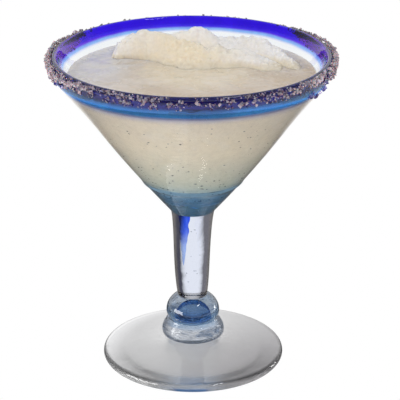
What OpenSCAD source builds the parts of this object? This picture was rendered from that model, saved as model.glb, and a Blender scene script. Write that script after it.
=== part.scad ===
// Stemmed martini glass, blown and worked by hand: a solid foot, a pressed
// collar, a ball knop with a blue heart, a solid stem with a cobalt trail in
// it, a cone bowl on a blue gather, and a cobalt lip crusted with salt. It
// holds a frozen drink with a heap of ice on top.
// Millimetres. The origin is the centre of the foot on the table, +Z is up.

/* [Overall] */
// Height of the lip above the table
rim_height = 160; // [140:1:195]
// Outside radius of the lip
rim_radius = 67.9; // [56:0.1:82]
// Radius of the foot
foot_radius = 45.7; // [38:0.1:56]

/* [Bowl] */
// Height of the bowl, from the stem to the lip
bowl_height = 80.5; // [68:0.1:97]
// Thickness of the wall and of the round lip
wall = 2.9; // [2.4:0.1:3.6]
// Lean of the wall from upright where it meets the lip, in degrees
lip_lean = 28.5; // [23:0.5:34]
// Length of the upper wall that draws towards that lean
upper_run = 38; // [31:1:46]
// Extra thickness of the wall where it leaves the stem
root_extra = 4; // [3:0.1:5]
// Solid glass between the stem and the drink
well_depth = 9.8; // [8.2:0.1:11.8]
// Height of the blue gather up the outside of the bowl
gather_height = 18.6; // [15.5:0.1:22.5]
// Height of the cobalt band, from its fused lower edge to the lip
band_height = 14.5; // [12:0.1:18]
// Extra thickness of the wall where the cobalt band is at its proudest
band_swell = 2.8; // [2.3:0.1:3.4]
// Distance of that proudest ring below the lip
band_proud = 8.5; // [7.1:0.1:10.2]
// Distance below the lip at which the wall starts to thicken
swell_run = 33; // [27:1:40]

/* [Stem] */
// Radius of the stem under the bowl
stem_top_radius = 10.9; // [9.5:0.1:13]
// Radius of the stem on the knop
stem_foot_radius = 7.4; // [6.3:0.1:8.9]
// Radius that the middle of the stem is drawn out to
stem_waist_radius = 9.15; // [8.3:0.05:11]
// Length of the cobalt trail below the bowl
trail_length = 29; // [20:0.5:34]
// Radius of the cobalt trail at its thick top end
trail_radius = 2.2; // [1.6:0.1:2.7]
// Distance of the trail from the middle of the stem
trail_offset = 3.9; // [3:0.1:5.5]
// Direction of the trail round the stem, in degrees from +X
trail_angle = 217; // [0:1:359]

/* [Knop and collar] */
// Greatest radius of the ball knop
knop_radius = 13.4; // [11.1:0.1:16.1]
// Height of the knop, from the collar to the stem
knop_height = 12.3; // [11:0.1:15]
// Radius of the blue heart of the knop
core_radius = 6; // [5:0.1:7.3]
// Height of the blue heart
core_height = 4.4; // [3.6:0.1:5.4]
// Greatest radius of the collar
collar_radius = 15.8; // [14.6:0.1:19]
// Height of the collar
collar_height = 9.3; // [7.7:0.1:11.2]

/* [Foot] */
// Height of the foot under the collar
foot_rise = 11.7; // [9.7:0.1:14]
// Thickness of the rounded edge of the foot
edge_thickness = 4.5; // [3.7:0.1:5.4]
// Width of the flat ring that the foot rests on
rest_width = 10; // [8:0.5:12]
// Depth of the hollow under the foot
hollow_depth = 5.2; // [4.2:0.1:6.4]

/* [Drink and garnish] */
// Distance from the lip down to the drink
headspace = 9.7; // [8:0.1:12]
// Height of the heap of ice above the drink
heap_height = 11.7; // [9.7:0.1:14]
// Greatest thickness of the salt crust on the lip
salt_thickness = 3.3; // [2.7:0.1:4]
// Height of the salt crust down the outside of the lip
salt_height = 10.5; // [8.7:0.1:11.5]

/* [Hidden] */
$fn = 96;

// Heights of the fused joints, from the table up
collar_z = foot_rise;
knop_z = collar_z + collar_height;
stem_z = knop_z + knop_height;
bowl_z = rim_height - bowl_height;
drink_z = rim_height - headspace;

// The collar stands on the foot on a circle a little inside its own bulge
seat_inset = 1.4;
seat_radius = collar_radius - seat_inset;

// How the soft shapes lie, as shares of the piece's own height or width
dome_sag = 0.38;         // how high the top of the foot is drawn halfway to the collar
hollow_flat = 0.30;      // width of the level middle of the hollow under the foot
hollow_shoulder = 0.55;  // where the hollow has run down to its shallow outer part
hollow_shallow = 0.25;   // depth left at that shoulder
collar_widest = 0.27;    // height of the collar's widest ring
shoulder_full = 0.22;    // how long the collar stays wide above that ring
shoulder_tuck = 0.34;    // how steeply it then runs in under the knop
knop_widest = 0.29;      // height of the knop's widest ring
swell_place = 0.26;      // height of the stem's lower swell
neck_place = 0.81;       // height of the stem's upper neck
well_place = 0.55;       // where the round bottom of the drink starts up the gather
swell_bend = 1.6;        // above 1, the wall thickens slowly at first

// And in millimetres
skirt_rise = 0.4;        // height of the collar's tuck above the foot
shoulder_out = 1.9;      // how far the collar stands out under the knop
stem_swing = 0.4;        // how much the swell and the neck differ from the waist
edge_sweep = 78;         // angle round the foot's edge at which its top begins, in degrees

// The outside of the bowl is one curve from the stem, through the pull of the
// upper wall, to the lip
lip_centre = [rim_radius - wall / 2, rim_height - wall / 2];
wall_foot = [stem_top_radius, bowl_z];
wall_top = lip_centre + wall / 2 * [cos(lip_lean), -sin(lip_lean)];
wall_pull = wall_top - upper_run * [sin(lip_lean), cos(lip_lean)];

function curve(a, b, c, t) = pow(1 - t, 2) * a + 2 * t * (1 - t) * b + t * t * c;
function curve4(a, b, c, d, t) =
    pow(1 - t, 3) * a + 3 * t * pow(1 - t, 2) * b + 3 * t * t * (1 - t) * c + t * t * t * d;
function span(a, b, n) = [for (i = [0:n]) a + (b - a) * i / n];
function without_last(list) = [for (i = [0:len(list) - 2]) list[i]];
function backwards(list) = [for (i = [len(list) - 1:-1:0]) list[i]];

// Outside of the plain wall, its outward direction, its thickness and its inside
function outside(t) = curve(wall_foot, wall_pull, wall_top, t);
function along(t) = (1 - t) * (wall_pull - wall_foot) + t * (wall_top - wall_pull);
function outward(t) = [along(t)[1], -along(t)[0]] / norm(along(t));
function thickness(t) = wall + root_extra * pow(1 - t, 4);
function inside(t) = outside(t) - thickness(t) * outward(t);

// Places on the curve where the outside and the inside reach a height, found
// by halving
function place(z, low = 0, high = 1, n = 24) =
    n == 0 ? (low + high) / 2
    : outside((low + high) / 2)[1] < z ? place(z, (low + high) / 2, high, n - 1)
    : place(z, low, (low + high) / 2, n - 1);

function place_inside(z, low = 0, high = 1, n = 24) =
    n == 0 ? (low + high) / 2
    : inside((low + high) / 2)[1] < z ? place_inside(z, (low + high) / 2, high, n - 1)
    : place_inside(z, low, (low + high) / 2, n - 1);

// Outside of the wall with the band's extra glass, which is drawn back at the lip
swell_t = place(rim_height - swell_run);
proud_t = place(rim_height - band_proud);
function eased(u) = u * u * (3 - 2 * u);
function drawn_back(t) = 1 - eased(max(0, (t - proud_t) / (1 - proud_t)));
function swell(t) =
    band_swell * pow(max(0, (t - swell_t) / (proud_t - swell_t)), swell_bend) * drawn_back(t);
function skin(t) = outside(t) + swell(t) * outward(t);

gather_t = place(bowl_z + gather_height);
band_t = place(rim_height - band_height);
salt_t = place(rim_height - salt_height);
well_t = gather_t * well_place;

// Radius of the drink's level surface, less what keeps the heap off the wall
heap_clearance = 0.5;
pool_radius = inside(place_inside(drink_z))[0] - heap_clearance;

base_steps = span(0, gather_t, 12);
well_steps = span(well_t, gather_t, 6);
bowl_steps = span(gather_t, band_t, 24);
bare_steps = span(band_t, salt_t, 3);
salt_steps = span(salt_t, 1, 9);
band_steps = concat(without_last(bare_steps), salt_steps);

// Round bottom of the drink's hollow, level at the axis
well_floor = bowl_z + well_depth;
well_edge = inside(well_t);
well_slope = along(well_t)[0] / along(well_t)[1];
well_corner = [well_edge[0] - well_slope * (well_edge[1] - well_floor), well_floor];
well_curve = [for (t = span(0, 1, 10)) curve([0, well_floor], well_corner, well_edge, t)];

function rounded_lip(from, to, n) =
    [for (a = span(from, to, n)) lip_centre + wall / 2 * [cos(a), sin(a)]];
lip_points = rounded_lip(-lip_lean, 180 - lip_lean, 16);

// Upright ring of a closed outline, which gives true turned surfaces
module turned(points) {
    rotate_extrude() polygon(points);
}

// ---- fused glass, from the table up ----

module foot() {
    edge_r = edge_thickness / 2;
    edge_centre = [foot_radius - edge_r, edge_r];
    rest_inner = foot_radius - edge_r - rest_width;
    seat = [seat_radius, foot_rise];
    edge = [for (a = span(-90, edge_sweep, 12)) edge_centre + edge_r * [cos(a), sin(a)]];
    slope_start = edge[len(edge) - 1];
    slope_pull = [(slope_start[0] + seat[0]) / 2,
                  slope_start[1] + dome_sag * (seat[1] - slope_start[1])];
    top = [for (t = span(0, 1, 14)) curve(slope_start, slope_pull, seat, t)];
    hollow = [for (t = span(0, 1, 16))
        curve4([0, hollow_depth], [rest_inner * hollow_flat, hollow_depth],
               [rest_inner * hollow_shoulder, hollow_depth * hollow_shallow], [rest_inner, 0], t)];
    color("gainsboro") turned(concat(hollow, edge, [for (i = [1:len(top) - 1]) top[i]],
                                     [[0, foot_rise]]));
}

// Ball of the knop: an oval whose widest ring is above the collar, and which
// is as wide as the foot of the stem at its top
knop_middle = knop_z + knop_height * knop_widest;
knop_reach = (stem_z - knop_middle) / sqrt(1 - pow(stem_foot_radius / knop_radius, 2));
function knop_outline(z) = knop_radius * sqrt(1 - pow((z - knop_middle) / knop_reach, 2));

module collar() {
    low = [seat_radius, collar_z];
    widest = [collar_radius, collar_z + collar_height * collar_widest];
    high = [knop_outline(knop_z), knop_z];
    skirt = [for (t = span(0, 1, 7))
        curve(low, [collar_radius, collar_z + skirt_rise], widest, t)];
    shoulder = [for (t = span(0, 1, 14))
        curve4(widest, widest + [0, collar_height * shoulder_full],
               high + [shoulder_out, -collar_height * shoulder_tuck], high, t)];
    color("lightsteelblue") turned(concat(
        [[0, collar_z]], without_last(skirt), shoulder, [[0, knop_z]]));
}

module knop_core_solid() {
    dome = [for (a = span(0, 90, 14)) [core_radius * cos(a), knop_z + core_height * sin(a)]];
    turned(concat([[0, knop_z]], dome));
}

module knop() {
    side = [for (z = span(knop_z, stem_z, 20)) [knop_outline(z), z]];
    color("lightblue") difference() {
        turned(concat([[0, knop_z]], side, [[0, stem_z]]));
        knop_core_solid();
    }
}

module knop_core() {
    color("royalblue") knop_core_solid();
}

// The trail tapers to a fine tip
trail_tip = 0.45;

module stem_trail_solid() {
    rotate([0, 0, trail_angle]) translate([trail_offset, 0, bowl_z - trail_length])
        cylinder(h = trail_length, r1 = trail_tip, r2 = trail_radius);
}

module stem() {
    low = [stem_foot_radius, stem_z];
    high = [stem_top_radius, bowl_z];
    length = bowl_z - stem_z;
    swell = [stem_waist_radius + stem_swing, stem_z + length * swell_place];
    neck = [stem_waist_radius - stem_swing, stem_z + length * neck_place];
    side = [for (t = span(0, 1, 24)) curve4(low, swell, neck, high, t)];
    color("lavender") difference() {
        turned(concat([[0, stem_z]], side, [[0, bowl_z]]));
        stem_trail_solid();
    }
}

module stem_trail() {
    color("mediumblue") stem_trail_solid();
}

module bowl_base() {
    color("steelblue") turned(concat(
        [[0, bowl_z]],
        [for (t = base_steps) skin(t)],
        [for (t = backwards(well_steps)) inside(t)],
        backwards(without_last(well_curve))));
}

module bowl() {
    color("aliceblue") turned(concat(
        [for (t = bowl_steps) skin(t)],
        [for (t = backwards(bowl_steps)) inside(t)]));
}

module rim_band() {
    color("darkblue") turned(concat(
        [for (t = without_last(band_steps)) skin(t)],
        lip_points,
        [for (t = backwards(without_last(band_steps))) inside(t)]));
}

// ---- what the glass holds and wears ----

// Crust on the outside of the lip: nothing at its two edges, thickest between
module salt_rim() {
    crust_fullness = 0.6; // below 1, the crust is blunt at its edges
    lip_part = 7;         // steps of the round lip that the crust climbs
    count = len(salt_steps) - 1 + lip_part;
    under = concat([for (t = without_last(salt_steps)) skin(t)],
                   [for (i = [0:lip_part]) lip_points[i]]);
    away = concat([for (t = without_last(salt_steps)) outward(t)],
                  [for (i = [0:lip_part]) (lip_points[i] - lip_centre) / (wall / 2)]);
    crust = [for (i = [count - 1:-1:1])
        under[i] + salt_thickness * pow(sin(180 * i / count), crust_fullness) * away[i]];
    color("thistle") turned(concat(under, crust));
}

module drink() {
    hollow = concat(
        without_last(well_curve),
        [for (t = without_last(well_steps)) inside(t)],
        [for (t = without_last(bowl_steps)) inside(t)],
        [for (t = band_steps) inside(t)]);
    color("cornsilk") intersection() {
        turned(concat(hollow, [[0, hollow[len(hollow) - 1][1]]]));
        cylinder(h = drink_z, r = rim_radius);
    }
}

// Cap of a ball that stands on the drink, placed and sized by shares of the
// drink's round surface, so the heap stays off the wall
module ice_lump(x, y, r, h) {
    foot_r = r * pool_radius;
    ball = (foot_r * foot_r + h * h) / (2 * h);
    translate([x * pool_radius, y * pool_radius, drink_z + h - ball]) sphere(r = ball);
}

module ice_heap() {
    color("white") intersection() {
        union() {
            ice_lump(-0.33, 0.40, 0.38, heap_height);
            ice_lump(0.06, 0.45, 0.37, heap_height - 0.3);
            ice_lump(0.44, 0.38, 0.39, heap_height - 3.5);
            ice_lump(0.02, 0.12, 0.42, heap_height - 5.5);
        }
        translate([0, 0, drink_z]) cylinder(h = heap_height + 1, r = rim_radius);
    }
}

foot();
collar();
knop();
knop_core();
stem();
stem_trail();
bowl_base();
bowl();
rim_band();
salt_rim();
drink();
ice_heap();
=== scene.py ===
"""Hand-blown martini glass with a salted cobalt lip and a frozen drink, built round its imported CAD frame."""
import math
import random

import bpy
from bpy.props import FloatProperty, FloatVectorProperty, IntProperty, PointerProperty
from mathutils import Matrix, Vector, noise
from mathutils.bvhtree import BVHTree


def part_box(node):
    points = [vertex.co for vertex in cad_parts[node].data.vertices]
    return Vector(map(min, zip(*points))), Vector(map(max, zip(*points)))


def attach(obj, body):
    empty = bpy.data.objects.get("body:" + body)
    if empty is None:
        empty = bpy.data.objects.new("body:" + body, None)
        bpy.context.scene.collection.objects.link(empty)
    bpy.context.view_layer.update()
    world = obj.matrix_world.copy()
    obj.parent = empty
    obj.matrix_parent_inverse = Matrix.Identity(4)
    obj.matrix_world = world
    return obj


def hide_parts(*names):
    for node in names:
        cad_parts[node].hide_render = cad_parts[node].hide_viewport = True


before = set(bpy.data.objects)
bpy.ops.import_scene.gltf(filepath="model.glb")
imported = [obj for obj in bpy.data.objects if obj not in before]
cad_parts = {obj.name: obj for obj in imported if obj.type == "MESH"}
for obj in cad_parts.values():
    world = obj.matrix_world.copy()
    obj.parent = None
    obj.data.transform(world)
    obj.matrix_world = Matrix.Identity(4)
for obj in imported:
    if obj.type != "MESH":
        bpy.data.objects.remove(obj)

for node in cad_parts.values():
    node.data.update()
bpy.context.view_layer.update()
MM = 0.001

bl_info = {
    "name": "Martini Glass",
    "version": (1, 0, 0),
    "blender": (4, 5, 0),
    "location": "3D View > Sidebar > Glass",
    "description": "Builds a hand-blown martini glass, its salt, its drink and its stage",
    "category": "Object",
}


# ---- places that the frame gives ----

def floor_of(node):
    """Height of a CAD node's lowest point."""
    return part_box(node)[0].z


def top_of(node):
    """Height of a CAD node's highest point."""
    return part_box(node)[1].z


FOOT_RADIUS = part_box("foot")[1].x
SEAT_Z = top_of("foot")
KNOP_Z = top_of("collar")
STEM_Z = top_of("knop")
BOWL_Z = top_of("stem")
GATHER_OUT_Z = floor_of("bowl")        # where the gather ends on the outside of the wall
GATHER_IN_Z = top_of("bowl_base")      # and on its inside
BAND_OUT_Z = floor_of("rim_band")
BAND_IN_Z = top_of("bowl")
LIP_Z = top_of("rim_band")
DRINK_Z = top_of("drink")
POOL_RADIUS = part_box("drink")[1].x
WELL_Z = floor_of("drink")


def colour(name, text, rgb):
    return FloatVectorProperty(name=name, description=text, subtype="COLOR", size=3,
                               min=0, max=1, default=rgb)


def length(name, text, mm, most=20.0):
    return FloatProperty(name=name, description=text, unit="LENGTH", subtype="DISTANCE",
                         min=0, max=most * MM, precision=5, default=mm * MM)


class GlassSettings(bpy.types.PropertyGroup):
    """Sizes and colours of the blown glass"""
    lip_bead: length("Lip bead", "Thickness of the round lip", 2.9)
    foot_edge: length("Foot edge", "Thickness of the round edge of the foot", 4.5)
    lean: length("Lean", "How far the stem stands off the axis at its middle", 0.5)
    lip_drift: length("Lip drift", "How far the lip stands off the axis", 0.55)
    wander: length("Wander", "Slow unevenness of the hand-made shape", 0.16)
    sides: IntProperty(name="Sides", description="Steps round each turned piece",
                       min=48, max=360, default=180)
    seeds: IntProperty(name="Seeds", description="Small bubbles in the wall of the bowl",
                       min=0, max=1500, default=760)
    clear: colour("Clear glass", "Tint of the bowl", (0.93, 0.95, 0.955))
    stem_centre: colour("Stem", "Tint of the stem seen square on", (0.77, 0.81, 0.92))
    # Painted shade: the stem's tints where it is seen edge on and along its outline.
    stem_edge_shade: colour("Stem edge", "Tint of the stem seen edge on", (0.005, 0.005, 0.009))
    stem_outline_shade: colour("Stem outline", "Tint of the stem along its outline", (0.055, 0.047, 0.040))
    smoke: colour("Foot glass", "Tint of the thick foot", (0.81, 0.81, 0.83))
    pale_blue: colour("Pale blue", "Tint of the knop and the collar", (0.45, 0.57, 0.75))
    steel_blue: colour("Steel blue", "Tint of the gather at the stem", (0.042, 0.155, 0.36))
    gather_top: colour("Gather top", "Tint of the gather higher up", (0.17, 0.39, 0.78))
    cobalt: colour("Cobalt", "Tint of the lip seen through from inside", (0.027, 0.002, 0.76))
    # Painted shade: the outside faces of the cobalt get this much darker copy of it.
    navy_shade: colour("Navy", "Tint of the lip seen from outside", (0.0006, 0.0008, 0.045))
    sky: colour("Sky blue", "Tint of the thin edge of the cobalt inside", (0.09, 0.30, 1.0))
    # Painted shade where the clear wall is seen edge on.
    wall_edge_shade: colour("Wall edge", "Tint of the clear wall seen edge on", (0.45, 0.44, 0.45))
    sea: colour("Sea blue", "Tint of the thin edge of the cobalt outside", (0.004, 0.12, 0.85))


class TintSettings(bpy.types.PropertyGroup):
    """Colours of the streaks of the solid glass, and of the shade painted low on the collar and along its
    edges, and of painted highlights
    """
    # Painted light and shade: the foot is lit on its left and shaded on its right.
    foot_left_lit: colour("Foot left", "Left of the foot", (0.97, 0.97, 0.975))
    foot_right_shade: colour("Foot right", "Right of the foot", (0.46, 0.44, 0.46))
    foot_teal: colour("Foot teal", "Lowest edge of the foot", (0.10, 0.24, 0.36))
    foot_streak: colour("Foot streak", "Cobalt in the front edge of the foot", (0.02, 0.10, 0.36))
    ground_ring: colour("Ground ring", "Broken ring under the foot", (0.008, 0.014, 0.035))
    ground_patch: colour("Ground patch", "Cobalt patch under the foot", (0.002, 0.015, 0.06))
    collar_dark: colour("Collar dark", "Dark streaks of the collar", (0.05, 0.09, 0.18))
    collar_light: colour("Collar light", "Pale streaks of the collar", (0.52, 0.58, 0.68))
    collar_top: colour("Collar top", "Collar where it meets the knop", (0.30, 0.50, 0.85))
    # Painted shade low on the collar where it sits on the foot, and at its sides seen edge on.
    collar_low_shade: colour("Collar fold", "Folds low on the collar", (0.03, 0.045, 0.07))
    collar_side_shade: colour("Collar side", "Collar seen edge on", (0.03, 0.045, 0.08))
    knop_streak: colour("Knop streak", "Streaks of the knop", (0.20, 0.33, 0.50))
    knop_low: colour("Knop low", "Lower part of the knop", (0.10, 0.27, 0.60))
    # Painted shade where the knop is seen edge on.
    knop_side_shade: colour("Knop side", "Knop seen edge on", (0.02, 0.04, 0.08))
    heart_low: colour("Heart low", "Lower part of the cobalt heart", (0.03, 0.13, 0.45))
    heart_top: colour("Heart top", "Top of the cobalt heart", (0.14, 0.30, 0.60))
    heart_dash: colour("Heart dash", "Dashes across the heart", (0.004, 0.010, 0.06))
    # Painted shade on the stem's right-hand edge.
    stem_right_shade: colour("Stem right", "Dark side of the stem on its right", (0.035, 0.033, 0.040))
    trail_thin: colour("Trail thin", "Lower end of the cobalt trail", (0.50, 0.64, 0.97))
    trail_full: colour("Trail full", "Upper end of the cobalt trail", (0.04, 0.12, 0.88))
    # Painted highlight over the ridge where the gather laps the wall, painted shade in dashes at its top, and
    # painted shade at its sides.
    gather_lap_highlight: colour("Gather lap", "Where the gather laps over the wall", (0.40, 0.63, 1.0))
    gather_seam_shade: colour("Gather seam", "Dashes along the gather's edge", (0.10, 0.14, 0.20))
    gather_side_shade: colour("Gather side", "Gather seen edge on", (0.16, 0.16, 0.20))
    seed_dark: colour("Seed dark", "Darker bubbles", (0.14, 0.20, 0.30))
    seed_light: colour("Seed light", "Lighter bubbles", (0.40, 0.46, 0.52))


class SaltSettings(bpy.types.PropertyGroup):
    """Sizes and colours of the salt crust"""
    grains: IntProperty(name="Grains", description="Crystals stuck to the lip",
                        min=0, max=16000, default=6200)
    grain: length("Grain", "Usual size of a crystal", 0.62, 3)
    reach: length("Reach", "How far down the wall the crust goes", 9.5)
    bright: colour("Bright", "Dry face of a crystal", (0.52, 0.44, 0.48))
    # Partly painted shade: crystals in front are darkened as if turned from the light, and partly wet salt
    # over the cobalt.
    damp_shade: colour("Damp", "Damp crystal over the cobalt", (0.012, 0.007, 0.055))
    syrup: colour("Syrup", "Salt melted to syrup", (0.34, 0.26, 0.58))
    cloud: colour("Cloud", "Cloudy part of the melted salt", (0.80, 0.74, 0.88))


class DrinkSettings(bpy.types.PropertyGroup):
    """Colours of the drink and the heap of ice"""
    cream: colour("Cream", "Body of the drink", (0.80, 0.715, 0.58))
    green: colour("Grey green", "Bottom of the drink", (0.50, 0.54, 0.46))
    snow: colour("Snow", "Fresh crushed ice", (0.91, 0.89, 0.88))
    syrup: colour("Syrup", "Ice soaked with drink", (0.90, 0.79, 0.61))
    # Painted light and shade: the top of the drink is lit near the middle and shaded further out.
    surface: colour("Surface", "Top of the drink near the middle", (0.79, 0.69, 0.53))
    outer: colour("Outer surface", "Top of the drink further out", (0.63, 0.52, 0.40))
    pale: colour("Pale slush", "Drink round the edge of its surface", (0.70, 0.68, 0.67))


class StageSettings(bpy.types.PropertyGroup):
    """Floor, light and camera"""
    floor_radius: FloatProperty(name="Floor", description="Radius of the floor", unit="LENGTH",
                                min=1, max=10, default=4.0)
    under_foot: FloatProperty(name="Under the foot", description="Brightness of the shaded floor",
                              min=0, max=2, default=0.60)
    far_floor: FloatProperty(name="Far floor", description="Brightness of the open floor",
                             min=0, max=2, default=1.0)
    mirrored: FloatProperty(name="Mirrored floor", description="Brightness that the glass mirrors",
                            min=0, max=2, default=0.10)
    floor_light: FloatProperty(name="Floor light", description="Light that the floor throws on things",
                               min=0, max=4, default=1.45)
    sky_light: FloatProperty(name="Sky light", description="Strength of the soft light all round",
                             min=0, max=5, default=0.45)
    camera_back: FloatProperty(name="Camera distance", description="Distance in front of the axis",
                               unit="LENGTH", default=0.8403)
    camera_height: FloatProperty(name="Camera height", description="Height above the table",
                                 unit="LENGTH", default=0.4183)
    camera_pitch: FloatProperty(name="Camera pitch", description="Angle of the view below level",
                                subtype="ANGLE", default=math.radians(21.69))
    camera_lens: FloatProperty(name="Lens", description="Focal length on a 36 mm sensor, in mm",
                               default=163.86)
    camera_shift: FloatProperty(name="Shift", description="Sideways shift of the lens",
                                default=0.0175)


# ---- outlines read off the CAD skin, as (radius, height) pairs ----

OFF_SEAM = 0.01  # radians round from +X, clear of the seam of the turned faces
SKINS = {name: BVHTree.FromPolygons([v.co for v in node.data.vertices],
                                    [p.vertices for p in node.data.polygons])
         for name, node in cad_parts.items()}


def skin_point(node, start, way):
    """Point where a line from start along way first meets a CAD node."""
    turn = Matrix.Rotation(OFF_SEAM, 3, "Z")
    where = SKINS[node].ray_cast(turn @ Vector((start[0], 0, start[1])),
                                 turn @ Vector((way[0], 0, way[1])).normalized())[0]
    if where is None:
        raise RuntimeError(f"no skin of {node} from {start} along {way}")
    return (math.hypot(where.x, where.y), where.z)


LIP_RADIUS = skin_point("rim_band", (1, LIP_Z - 1.45 * MM), (-1, 0))[0]


def steps(low, high, count):
    """Evenly spaced numbers from low to high, both included."""
    return [low + (high - low) * i / (count - 1) for i in range(count)]


def eased(low, high, count):
    """Numbers from low to high that crowd together at both ends."""
    return [low + (high - low) * (1 - math.cos(math.pi * i / (count - 1))) / 2
            for i in range(count)]


def outer_side(node, low, high, count):
    """Outside of a node between two heights, upwards."""
    inset = 0.02 * MM
    heights = eased(low, high, count)
    return [(skin_point(node, (1, min(max(z, low + inset), high - inset)), (-1, 0))[0], z)
            for z in heights]


def smooth(points, parts):
    """Soft curve through the points, with parts pieces between each two."""
    ends = [points[0]] + list(points) + [points[-1]]
    out = []
    for a, b, c, d in zip(ends, ends[1:], ends[2:], ends[3:]):
        for k in range(parts):
            t = k / parts
            out.append(tuple(
                0.5 * (2 * b[i] + (c[i] - a[i]) * t + (2 * a[i] - 5 * b[i] + 4 * c[i] - d[i]) * t * t
                       + (3 * b[i] - a[i] - 3 * c[i] + d[i]) * t ** 3) for i in (0, 1)))
    return out + [points[-1]]


def arc(centre, radius, start, end, count):
    """Round stretch of an outline, from start to end in degrees."""
    return [(centre[0] + radius * math.cos(math.radians(a)),
             centre[1] + radius * math.sin(math.radians(a))) for a in steps(start, end, count)]


def wall_outside(low, high, count):
    """Outside of the bowl's wall, over its three pieces of glass."""
    def reach(z):
        node = "bowl_base" if z < GATHER_OUT_Z else "bowl" if z < BAND_OUT_Z else "rim_band"
        return skin_point(node, (1, z), (-1, 0))[0]
    edge = 0.03 * MM
    return [(reach(z + (edge if i == 0 else -edge if i == count - 1 else 0)), z)
            for i, z in enumerate(steps(low, high, count))]


def wall_inside(low, high, count):
    """Inside of the bowl's wall, over its three pieces of glass."""
    def reach(z):
        node = "bowl_base" if z < GATHER_IN_Z else "bowl" if z < BAND_IN_Z else "rim_band"
        return skin_point(node, (0, z), (1, 0))[0]
    edge = 0.03 * MM
    return [(reach(z + (edge if i == 0 else -edge if i == count - 1 else 0)), z)
            for i, z in enumerate(steps(low, high, count))]


# ---- mesh making ----

def soft_step(low, high, x):
    t = min(max((x - low) / (high - low), 0), 1)
    return t * t * (3 - 2 * t)


def hand_shaped(x, y, z):
    """Moves a point of the true turned shape to where a hand-made one has it."""
    glass = bpy.context.scene.martini_glass
    stem = math.sin(math.pi * min(max((z - SEAT_Z) / (BOWL_Z * 1.15 - SEAT_Z), 0), 1)) ** 2
    lip = soft_step(BOWL_Z, LIP_Z, z)
    radius = math.hypot(x, y)
    here = Vector((x, y, z)) * 14
    swell = noise.noise(here) * glass.wander * min(radius / (8 * MM), 1)
    wave = noise.noise(here + Vector((7, 3, 1))) * glass.wander * 0.8 * min(z / (12 * MM), 1)
    grow = 1 + swell / radius if radius > 1e-6 else 1
    return Vector((x * grow - glass.lean * stem - glass.lip_drift * lip, y * grow, z + wave))


def new_piece(name, verts, faces, materials, marks=None, sharp=35, smooth_faces=True):
    """Object from points and faces, with one material slot number in marks for each face."""
    mesh = bpy.data.meshes.new(name)
    mesh.from_pydata([tuple(v) for v in verts], [], faces)
    for material in materials:
        mesh.materials.append(material)
    if marks:
        mesh.polygons.foreach_set("material_index", marks)
    mesh.polygons.foreach_set("use_smooth", [smooth_faces] * len(mesh.polygons))
    if smooth_faces:
        mesh.set_sharp_from_angle(angle=math.radians(sharp))
    mesh.validate()
    mesh.update()
    piece = bpy.data.objects.new(name, mesh)
    bpy.context.scene.collection.objects.link(piece)
    return piece


def turned(name, outline, materials, joints=(), other=()):
    """Closed turned piece. joints are the outline's fused steps, and other those of the third finish."""
    sides = bpy.context.scene.martini_glass.sides
    verts, rows = [], []
    for r, z in outline:
        around = 1 if r < 1e-6 else sides
        rows.append(range(len(verts), len(verts) + around))
        verts += [hand_shaped(r * math.cos(2 * math.pi * i / sides),
                              r * math.sin(2 * math.pi * i / sides), z) for i in range(around)]
    if outline[0][0] > 1e-6:
        rows.append(rows[0])
    faces, marks = [], []
    for k, (low, high) in enumerate(zip(rows, rows[1:])):
        for i in range(sides):
            j = (i + 1) % sides
            if len(low) == 1:
                faces.append((low[0], high[j], high[i]))
            elif len(high) == 1:
                faces.append((low[i], low[j], high[0]))
            else:
                faces.append((low[i], low[j], high[j], high[i]))
            marks.append(1 if k in joints else 2 if k in other else 0)
    return new_piece(name, verts, faces, materials, marks)


def stands_for(piece, slot, *nodes):
    """Says which CAD nodes a piece stands for, by hiding them, and puts the piece under the root; slot, where
    its finish would come from, is not used.
    """
    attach(piece, "root")
    if nodes:
        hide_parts(*nodes)


# ---- shader building ----

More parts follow.
